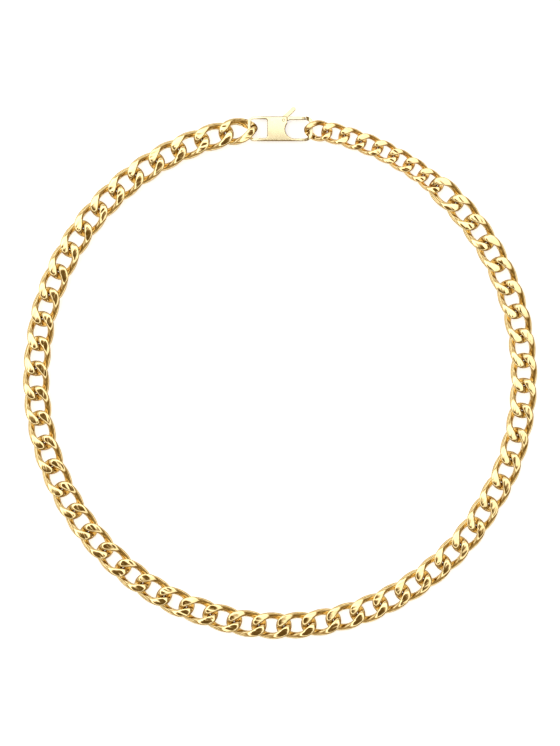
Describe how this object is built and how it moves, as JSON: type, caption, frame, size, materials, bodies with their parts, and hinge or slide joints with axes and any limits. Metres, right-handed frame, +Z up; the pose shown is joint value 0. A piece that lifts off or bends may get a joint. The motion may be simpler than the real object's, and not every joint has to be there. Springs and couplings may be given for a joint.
{
  "type": "chain necklace",
  "caption": "Flat curb chain necklace lying closed, with a short run of smaller links beside a rectangular lobster clasp with a thumb lever.",
  "frame": {"origin": "under the middle of the bounding box, on the plane that the closed necklace lies on", "axes": "+Z up out of that plane; +Y towards the clasp; +X to the right seen from above, from the first large link towards the small links"},
  "size_m": [0.1658, 0.1714, 0.0036],
  "materials": {
    "large_link_gold": "polished yellow gold plating",
    "small_link_gold": "polished yellow gold plating, slightly warmer",
    "clasp_gold": "satin pale gold plating with polished edges",
    "pin_gold": "polished gold plating",
    "spring_steel": "bright spring leaf"
  },
  "bodies": {
    "clasp": {"clasp_body": "clasp_gold", "lever_pin": "pin_gold", "lever_spring": "spring_steel"},
    "lever": {"clasp_lever": "clasp_gold"},
    "large_link_01": {"large_link_01": "large_link_gold"},
    "large_link_02": {"large_link_02": "large_link_gold"},
    "large_link_03": {"large_link_03": "large_link_gold"},
    "large_link_04": {"large_link_04": "large_link_gold"},
    "large_link_05": {"large_link_05": "large_link_gold"},
    "large_link_06": {"large_link_06": "large_link_gold"},
    "large_link_07": {"large_link_07": "large_link_gold"},
    "large_link_08": {"large_link_08": "large_link_gold"},
    "large_link_09": {"large_link_09": "large_link_gold"},
    "large_link_10": {"large_link_10": "large_link_gold"},
    "large_link_11": {"large_link_11": "large_link_gold"},
    "large_link_12": {"large_link_12": "large_link_gold"},
    "large_link_13_and_next": {"large_link_13_and_next": "large_link_gold"},
    "large_link_15": {"large_link_15": "large_link_gold"},
    "large_link_16": {"large_link_16": "large_link_gold"},
    "large_link_17": {"large_link_17": "large_link_gold"},
    "large_link_18": {"large_link_18": "large_link_gold"},
    "large_link_19": {"large_link_19": "large_link_gold"},
    "large_link_20": {"large_link_20": "large_link_gold"},
    "large_link_21": {"large_link_21": "large_link_gold"},
    "large_link_22": {"large_link_22": "large_link_gold"},
    "large_link_23": {"large_link_23": "large_link_gold"},
    "large_link_24": {"large_link_24": "large_link_gold"},
    "large_link_25": {"large_link_25": "large_link_gold"},
    "large_link_26": {"large_link_26": "large_link_gold"},
    "large_link_27_and_next": {"large_link_27_and_next": "large_link_gold"},
    "large_link_29": {"large_link_29": "large_link_gold"},
    "large_link_30": {"large_link_30": "large_link_gold"},
    "large_link_31": {"large_link_31": "large_link_gold"},
    "large_link_32": {"large_link_32": "large_link_gold"},
    "large_link_33": {"large_link_33": "large_link_gold"},
    "large_link_34": {"large_link_34": "large_link_gold"},
    "large_link_35": {"large_link_35": "large_link_gold"},
    "large_link_36": {"large_link_36": "large_link_gold"},
    "large_link_37": {"large_link_37": "large_link_gold"},
    "large_link_38": {"large_link_38": "large_link_gold"},
    "large_link_39": {"large_link_39": "large_link_gold"},
    "large_link_40_and_next": {"large_link_40_and_next": "large_link_gold"},
    "large_link_42": {"large_link_42": "large_link_gold"},
    "large_link_43": {"large_link_43": "large_link_gold"},
    "large_link_44": {"large_link_44": "large_link_gold"},
    "large_link_45": {"large_link_45": "large_link_gold"},
    "large_link_46": {"large_link_46": "large_link_gold"},
    "large_link_47": {"large_link_47": "large_link_gold"},
    "large_link_48": {"large_link_48": "large_link_gold"},
    "large_link_49": {"large_link_49": "large_link_gold"},
    "large_link_50": {"large_link_50": "large_link_gold"},
    "large_link_51": {"large_link_51": "large_link_gold"},
    "large_link_52": {"large_link_52": "large_link_gold"},
    "large_link_53": {"large_link_53": "large_link_gold"},
    "large_link_54": {"large_link_54": "large_link_gold"},
    "small_link_01_and_next": {"small_link_01_and_next": "small_link_gold"},
    "small_link_03_and_next": {"small_link_03_and_next": "small_link_gold"},
    "small_link_05_and_next": {"small_link_05_and_next": "small_link_gold"},
    "small_link_07": {"small_link_07": "small_link_gold"},
    "small_link_08": {"small_link_08": "small_link_gold"}
  },
  "joints": [
    {"name": "large_link_01_hinge", "type": "hinge", "parent": "clasp", "child": "large_link_01", "pos_m": [-0.00951, 0.07868, 0.0018], "axis": [0, 0, -1], "range_deg": [-6, 6]},
    {"name": "large_link_02_hinge", "type": "hinge", "parent": "large_link_01", "child": "large_link_02", "pos_m": [-0.01744, 0.07727, 0.0018], "axis": [0, 0, -1], "range_deg": [-6, 6]},
    {"name": "large_link_03_hinge", "type": "hinge", "parent": "large_link_02", "child": "large_link_03", "pos_m": [-0.02518, 0.07504, 0.0018], "axis": [0, 0, -1], "range_deg": [-6, 6]},
    {"name": "large_link_04_hinge", "type": "hinge", "parent": "large_link_03", "child": "large_link_04", "pos_m": [-0.03264, 0.07203, 0.0018], "axis": [0, 0, -1], "range_deg": [-6, 6]},
    {"name": "large_link_05_hinge", "type": "hinge", "parent": "large_link_04", "child": "large_link_05", "pos_m": [-0.03975, 0.06826, 0.0018], "axis": [0, 0, -1], "range_deg": [-6, 6]},
    {"name": "large_link_06_hinge", "type": "hinge", "parent": "large_link_05", "child": "large_link_06", "pos_m": [-0.04644, 0.06378, 0.0018], "axis": [0, 0, -1], "range_deg": [-6, 6]},
    {"name": "large_link_07_hinge", "type": "hinge", "parent": "large_link_06", "child": "large_link_07", "pos_m": [-0.05264, 0.05864, 0.0018], "axis": [0, 0, -1], "range_deg": [-6, 6]},
    {"name": "large_link_08_hinge", "type": "hinge", "parent": "large_link_07", "child": "large_link_08", "pos_m": [-0.05828, 0.05289, 0.0018], "axis": [0, 0, -1], "range_deg": [-6, 6]},
    {"name": "large_link_09_hinge", "type": "hinge", "parent": "large_link_08", "child": "large_link_09", "pos_m": [-0.06332, 0.04661, 0.0018], "axis": [0, 0, 1], "range_deg": [-6, 6]},
    {"name": "large_link_10_hinge", "type": "hinge", "parent": "large_link_09", "child": "large_link_10", "pos_m": [-0.0677, 0.03986, 0.0018], "axis": [0, 0, 1], "range_deg": [-6, 6]},
    {"name": "large_link_11_hinge", "type": "hinge", "parent": "large_link_10", "child": "large_link_11", "pos_m": [-0.07139, 0.0327, 0.0018], "axis": [0, 0, 1], "range_deg": [-6, 6]},
    {"name": "large_link_12_hinge", "type": "hinge", "parent": "large_link_11", "child": "large_link_12", "pos_m": [-0.07435, 0.02522, 0.0018], "axis": [0, 0, 1], "range_deg": [-6, 6]},
    {"name": "large_link_13_and_next_hinge", "type": "hinge", "parent": "large_link_12", "child": "large_link_13_and_next", "pos_m": [-0.07656, 0.01748, 0.0018], "axis": [0, 0, 1], "range_deg": [-6, 6]},
    {"name": "large_link_15_hinge", "type": "hinge", "parent": "large_link_13_and_next", "child": "large_link_15", "pos_m": [-0.07866, 0.00153, 0.0018], "axis": [0, 0, 1], "range_deg": [-6, 6]},
    {"name": "large_link_16_hinge", "type": "hinge", "parent": "large_link_15", "child": "large_link_16", "pos_m": [-0.07853, -0.00652, 0.0018], "axis": [0, 0, 1], "range_deg": [-3.8, 3.8]},
    {"name": "large_link_17_hinge", "type": "hinge", "parent": "large_link_16", "child": "large_link_17", "pos_m": [-0.0776, -0.01452, 0.0018], "axis": [0, 0, 1], "range_deg": [-4.3, 4.3]},
    {"name": "large_link_18_hinge", "type": "hinge", "parent": "large_link_17", "child": "large_link_18", "pos_m": [-0.0759, -0.02239, 0.0018], "axis": [0, 0, 1], "range_deg": [-5.1, 5.1]},
    {"name": "large_link_19_hinge", "type": "hinge", "parent": "large_link_18", "child": "large_link_19", "pos_m": [-0.07344, -0.03005, 0.0018], "axis": [0, 0, 1], "range_deg": [-6, 6]},
    {"name": "large_link_20_hinge", "type": "hinge", "parent": "large_link_19", "child": "large_link_20", "pos_m": [-0.07022, -0.03743, 0.0018], "axis": [0, 0, 1], "range_deg": [-6.9, 6.9]},
    {"name": "large_link_21_hinge", "type": "hinge", "parent": "large_link_20", "child": "large_link_21", "pos_m": [-0.0663, -0.04446, 0.0018], "axis": [0, 0, 1], "range_deg": [-7.7, 7.7]},
    {"name": "large_link_22_hinge", "type": "hinge", "parent": "large_link_21", "child": "large_link_22", "pos_m": [-0.06169, -0.05106, 0.0018], "axis": [0, 0, 1], "range_deg": [-8.2, 8.2]},
    {"name": "large_link_23_hinge", "type": "hinge", "parent": "large_link_22", "child": "large_link_23", "pos_m": [-0.05644, -0.05717, 0.0018], "axis": [0, 0, 1], "range_deg": [-8.4, 8.4]},
    {"name": "large_link_24_hinge", "type": "hinge", "parent": "large_link_23", "child": "large_link_24", "pos_m": [-0.0506, -0.06271, 0.0018], "axis": [0, 0, -1], "range_deg": [-5.5, 5.5]},
    {"name": "large_link_25_hinge", "type": "hinge", "parent": "large_link_24", "child": "large_link_25", "pos_m": [-0.04423, -0.06764, 0.0018], "axis": [0, 0, -1], "range_deg": [-5.9, 5.9]},
    {"name": "large_link_26_hinge", "type": "hinge", "parent": "large_link_25", "child": "large_link_26", "pos_m": [-0.03739, -0.07188, 0.0018], "axis": [0, 0, -1], "range_deg": [-6.2, 6.2]},
    {"name": "large_link_27_and_next_hinge", "type": "hinge", "parent": "large_link_26", "child": "large_link_27_and_next", "pos_m": [-0.03015, -0.0754, 0.0018], "axis": [0, 0, -1], "range_deg": [-6.5, 6.5]},
    {"name": "large_link_29_hinge", "type": "hinge", "parent": "large_link_27_and_next", "child": "large_link_29", "pos_m": [-0.01478, -0.0801, 0.0018], "axis": [0, 0, -1], "range_deg": [-6.8, 6.8]},
    {"name": "large_link_30_hinge", "type": "hinge", "parent": "large_link_29", "child": "large_link_30", "pos_m": [-0.0068, -0.08123, 0.0018], "axis": [0, 0, -1], "range_deg": [-7.1, 7.1]},
    {"name": "large_link_31_hinge", "type": "hinge", "parent": "large_link_30", "child": "large_link_31", "pos_m": [0.00124, -0.08152, 0.0018], "axis": [0, 0, -1], "range_deg": [-3.4, 3.4]},
    {"name": "large_link_32_hinge", "type": "hinge", "parent": "large_link_31", "child": "large_link_32", "pos_m": [0.00927, -0.08097, 0.0018], "axis": [0, 0, -1], "range_deg": [-3.8, 3.8]},
    {"name": "large_link_33_hinge", "type": "hinge", "parent": "large_link_32", "child": "large_link_33", "pos_m": [0.0172, -0.07959, 0.0018], "axis": [0, 0, -1], "range_deg": [-4.6, 4.6]},
    {"name": "large_link_34_hinge", "type": "hinge", "parent": "large_link_33", "child": "large_link_34", "pos_m": [0.02495, -0.07739, 0.0018], "axis": [0, 0, -1], "range_deg": [-5.7, 5.7]},
    {"name": "large_link_35_hinge", "type": "hinge", "parent": "large_link_34", "child": "large_link_35", "pos_m": [0.03242, -0.07439, 0.0018], "axis": [0, 0, -1], "range_deg": [-6.9, 6.9]},
    {"name": "large_link_36_hinge", "type": "hinge", "parent": "large_link_35", "child": "large_link_36", "pos_m": [0.03955, -0.07065, 0.0018], "axis": [0, 0, -1], "range_deg": [-8, 8]},
    {"name": "large_link_37_hinge", "type": "hinge", "parent": "large_link_36", "child": "large_link_37", "pos_m": [0.04625, -0.06619, 0.0018], "axis": [0, 0, -1], "range_deg": [-8.7, 8.7]},
    {"name": "large_link_38_hinge", "type": "hinge", "parent": "large_link_37", "child": "large_link_38", "pos_m": [0.05246, -0.06106, 0.0018], "axis": [0, 0, -1], "range_deg": [-9.1, 9.1]},
    {"name": "large_link_39_hinge", "type": "hinge", "parent": "large_link_38", "child": "large_link_39", "pos_m": [0.05812, -0.05534, 0.0018], "axis": [0, 0, 1], "range_deg": [-4.6, 4.6]},
    {"name": "large_link_40_and_next_hinge", "type": "hinge", "parent": "large_link_39", "child": "large_link_40_and_next", "pos_m": [0.06318, -0.04907, 0.0018], "axis": [0, 0, 1], "range_deg": [-5.1, 5.1]},
    {"name": "large_link_42_hinge", "type": "hinge", "parent": "large_link_40_and_next", "child": "large_link_42", "pos_m": [0.07129, -0.03519, 0.0018], "axis": [0, 0, 1], "range_deg": [-6, 6]},
    {"name": "large_link_43_hinge", "type": "hinge", "parent": "large_link_42", "child": "large_link_43", "pos_m": [0.07427, -0.02771, 0.0018], "axis": [0, 0, 1], "range_deg": [-6.5, 6.5]},
    {"name": "large_link_44_hinge", "type": "hinge", "parent": "large_link_43", "child": "large_link_44", "pos_m": [0.07651, -0.01998, 0.0018], "axis": [0, 0, 1], "range_deg": [-7.1, 7.1]},
    {"name": "large_link_45_hinge", "type": "hinge", "parent": "large_link_44", "child": "large_link_45", "pos_m": [0.07797, -0.01206, 0.0018], "axis": [0, 0, 1], "range_deg": [-7.2, 7.2]},
    {"name": "large_link_46_hinge", "type": "hinge", "parent": "large_link_45", "child": "large_link_46", "pos_m": [0.07865, -0.00404, 0.0018], "axis": [0, 0, 1], "range_deg": [-2.7, 2.7]},
    {"name": "large_link_47_hinge", "type": "hinge", "parent": "large_link_46", "child": "large_link_47", "pos_m": [0.07854, 0.00401, 0.0018], "axis": [0, 0, 1], "range_deg": [-2.9, 2.9]},
    {"name": "large_link_48_hinge", "type": "hinge", "parent": "large_link_47", "child": "large_link_48", "pos_m": [0.07764, 0.01201, 0.0018], "axis": [0, 0, 1], "range_deg": [-3.6, 3.6]},
    {"name": "large_link_49_hinge", "type": "hinge", "parent": "large_link_48", "child": "large_link_49", "pos_m": [0.07596, 0.01989, 0.0018], "axis": [0, 0, 1], "range_deg": [-4.8, 4.8]},
    {"name": "large_link_50_hinge", "type": "hinge", "parent": "large_link_49", "child": "large_link_50", "pos_m": [0.07352, 0.02756, 0.0018], "axis": [0, 0, 1], "range_deg": [-6.2, 6.2]},
    {"name": "large_link_51_hinge", "type": "hinge", "parent": "large_link_50", "child": "large_link_51", "pos_m": [0.07033, 0.03495, 0.0018], "axis": [0, 0, 1], "range_deg": [-7.7, 7.7]},
    {"name": "large_link_52_hinge", "type": "hinge", "parent": "large_link_51", "child": "large_link_52", "pos_m": [0.06642, 0.04199, 0.0018], "axis": [0, 0, 1], "range_deg": [-8.9, 8.9]},
    {"name": "large_link_53_hinge", "type": "hinge", "parent": "large_link_52", "child": "large_link_53", "pos_m": [0.06183, 0.04861, 0.0018], "axis": [0, 0, 1], "range_deg": [-9.7, 9.7]},
    {"name": "large_link_54_hinge", "type": "hinge", "parent": "large_link_53", "child": "large_link_54", "pos_m": [0.0566, 0.05473, 0.0018], "axis": [0, 0, -1], "range_deg": [-1.8, 1.8]},
    {"name": "small_link_01_and_next_hinge", "type": "hinge", "parent": "large_link_54", "child": "small_link_01_and_next", "pos_m": [0.05078, 0.06029, 0.00143], "axis": [0, 0, -1], "range_deg": [-2.3, 2.3]},
    {"name": "small_link_03_and_next_hinge", "type": "hinge", "parent": "small_link_01_and_next", "child": "small_link_03_and_next", "pos_m": [0.04159, 0.06712, 0.00143], "axis": [0, 0, -1], "range_deg": [-4.3, 4.3]},
    {"name": "small_link_05_and_next_hinge", "type": "hinge", "parent": "small_link_03_and_next", "child": "small_link_05_and_next", "pos_m": [0.03151, 0.07254, 0.00143], "axis": [0, 0, -1], "range_deg": [-6.3, 6.3]},
    {"name": "small_link_07_hinge", "type": "hinge", "parent": "small_link_05_and_next", "child": "small_link_07", "pos_m": [0.02073, 0.07642, 0.00143], "axis": [0, 0, -1], "range_deg": [-8, 8]},
    {"name": "small_link_08_hinge", "type": "hinge", "parent": "small_link_07", "child": "small_link_08", "pos_m": [0.01516, 0.07776, 0.00143], "axis": [0, 0, -1], "range_deg": [-8.3, 8.3]},
    {"name": "lever_hinge", "type": "hinge", "parent": "clasp", "child": "lever", "pos_m": [0.00116, 0.08138, 0.0014], "axis": [0, 0, -1], "range_deg": [0, 12], "stiffness_Nm_per_rad": 0.002}
  ],
  "couplings": [
    {"joint": "large_link_16_hinge", "follows": "large_link_01_hinge", "ratio": 0.5789},
    {"joint": "large_link_17_hinge", "follows": "large_link_02_hinge", "ratio": 0.6592},
    {"joint": "large_link_18_hinge", "follows": "large_link_03_hinge", "ratio": 0.7811},
    {"joint": "large_link_19_hinge", "follows": "large_link_04_hinge", "ratio": 0.9292},
    {"joint": "large_link_20_hinge", "follows": "large_link_05_hinge", "ratio": 1.0798},
    {"joint": "large_link_21_hinge", "follows": "large_link_06_hinge", "ratio": 1.2039},
    {"joint": "large_link_22_hinge", "follows": "large_link_07_hinge", "ratio": 1.2825},
    {"joint": "large_link_23_hinge", "follows": "large_link_08_hinge", "ratio": 1.3128},
    {"joint": "large_link_24_hinge", "follows": "large_link_09_hinge", "ratio": 0.8474},
    {"joint": "large_link_25_hinge", "follows": "large_link_10_hinge", "ratio": 0.9075},
    {"joint": "large_link_26_hinge", "follows": "large_link_11_hinge", "ratio": 0.9539},
    {"joint": "large_link_27_and_next_hinge", "follows": "large_link_12_hinge", "ratio": 1.0036},
    {"joint": "large_link_29_hinge", "follows": "large_link_13_and_next_hinge", "ratio": 1.0548},
    {"joint": "large_link_30_hinge", "follows": "large_link_15_hinge", "ratio": 1.113},
    {"joint": "large_link_31_hinge", "follows": "large_link_01_hinge", "ratio": 0.513},
    {"joint": "large_link_32_hinge", "follows": "large_link_02_hinge", "ratio": 0.5806},
    {"joint": "large_link_33_hinge", "follows": "large_link_03_hinge", "ratio": 0.7074},
    {"joint": "large_link_34_hinge", "follows": "large_link_04_hinge", "ratio": 0.8805},
    {"joint": "large_link_35_hinge", "follows": "large_link_05_hinge", "ratio": 1.0727},
    {"joint": "large_link_36_hinge", "follows": "large_link_06_hinge", "ratio": 1.2448},
    {"joint": "large_link_37_hinge", "follows": "large_link_07_hinge", "ratio": 1.365},
    {"joint": "large_link_38_hinge", "follows": "large_link_08_hinge", "ratio": 1.4217},
    {"joint": "large_link_39_hinge", "follows": "large_link_09_hinge", "ratio": 0.6989},
    {"joint": "large_link_40_and_next_hinge", "follows": "large_link_10_hinge", "ratio": 0.7815},
    {"joint": "large_link_42_hinge", "follows": "large_link_11_hinge", "ratio": 0.9232},
    {"joint": "large_link_43_hinge", "follows": "large_link_12_hinge", "ratio": 1.0069},
    {"joint": "large_link_44_hinge", "follows": "large_link_13_and_next_hinge", "ratio": 1.1067},
    {"joint": "large_link_45_hinge", "follows": "large_link_15_hinge", "ratio": 1.1262},
    {"joint": "large_link_46_hinge", "follows": "large_link_01_hinge", "ratio": 0.4},
    {"joint": "large_link_47_hinge", "follows": "large_link_02_hinge", "ratio": 0.4404},
    {"joint": "large_link_48_hinge", "follows": "large_link_03_hinge", "ratio": 0.5523},
    {"joint": "large_link_49_hinge", "follows": "large_link_04_hinge", "ratio": 0.7337},
    {"joint": "large_link_50_hinge", "follows": "large_link_05_hinge", "ratio": 0.9639},
    {"joint": "large_link_51_hinge", "follows": "large_link_06_hinge", "ratio": 1.2001},
    {"joint": "large_link_52_hinge", "follows": "large_link_07_hinge", "ratio": 1.3976},
    {"joint": "large_link_53_hinge", "follows": "large_link_08_hinge", "ratio": 1.5285},
    {"joint": "large_link_54_hinge", "follows": "large_link_09_hinge", "ratio": 0.2586},
    {"joint": "small_link_01_and_next_hinge", "follows": "large_link_10_hinge", "ratio": 0.3326},
    {"joint": "small_link_03_and_next_hinge", "follows": "large_link_11_hinge", "ratio": 0.6604},
    {"joint": "small_link_05_and_next_hinge", "follows": "large_link_12_hinge", "ratio": 0.9757},
    {"joint": "small_link_07_hinge", "follows": "large_link_13_and_next_hinge", "ratio": 1.2482},
    {"joint": "small_link_08_hinge", "follows": "large_link_15_hinge", "ratio": 1.2992}
  ]
}
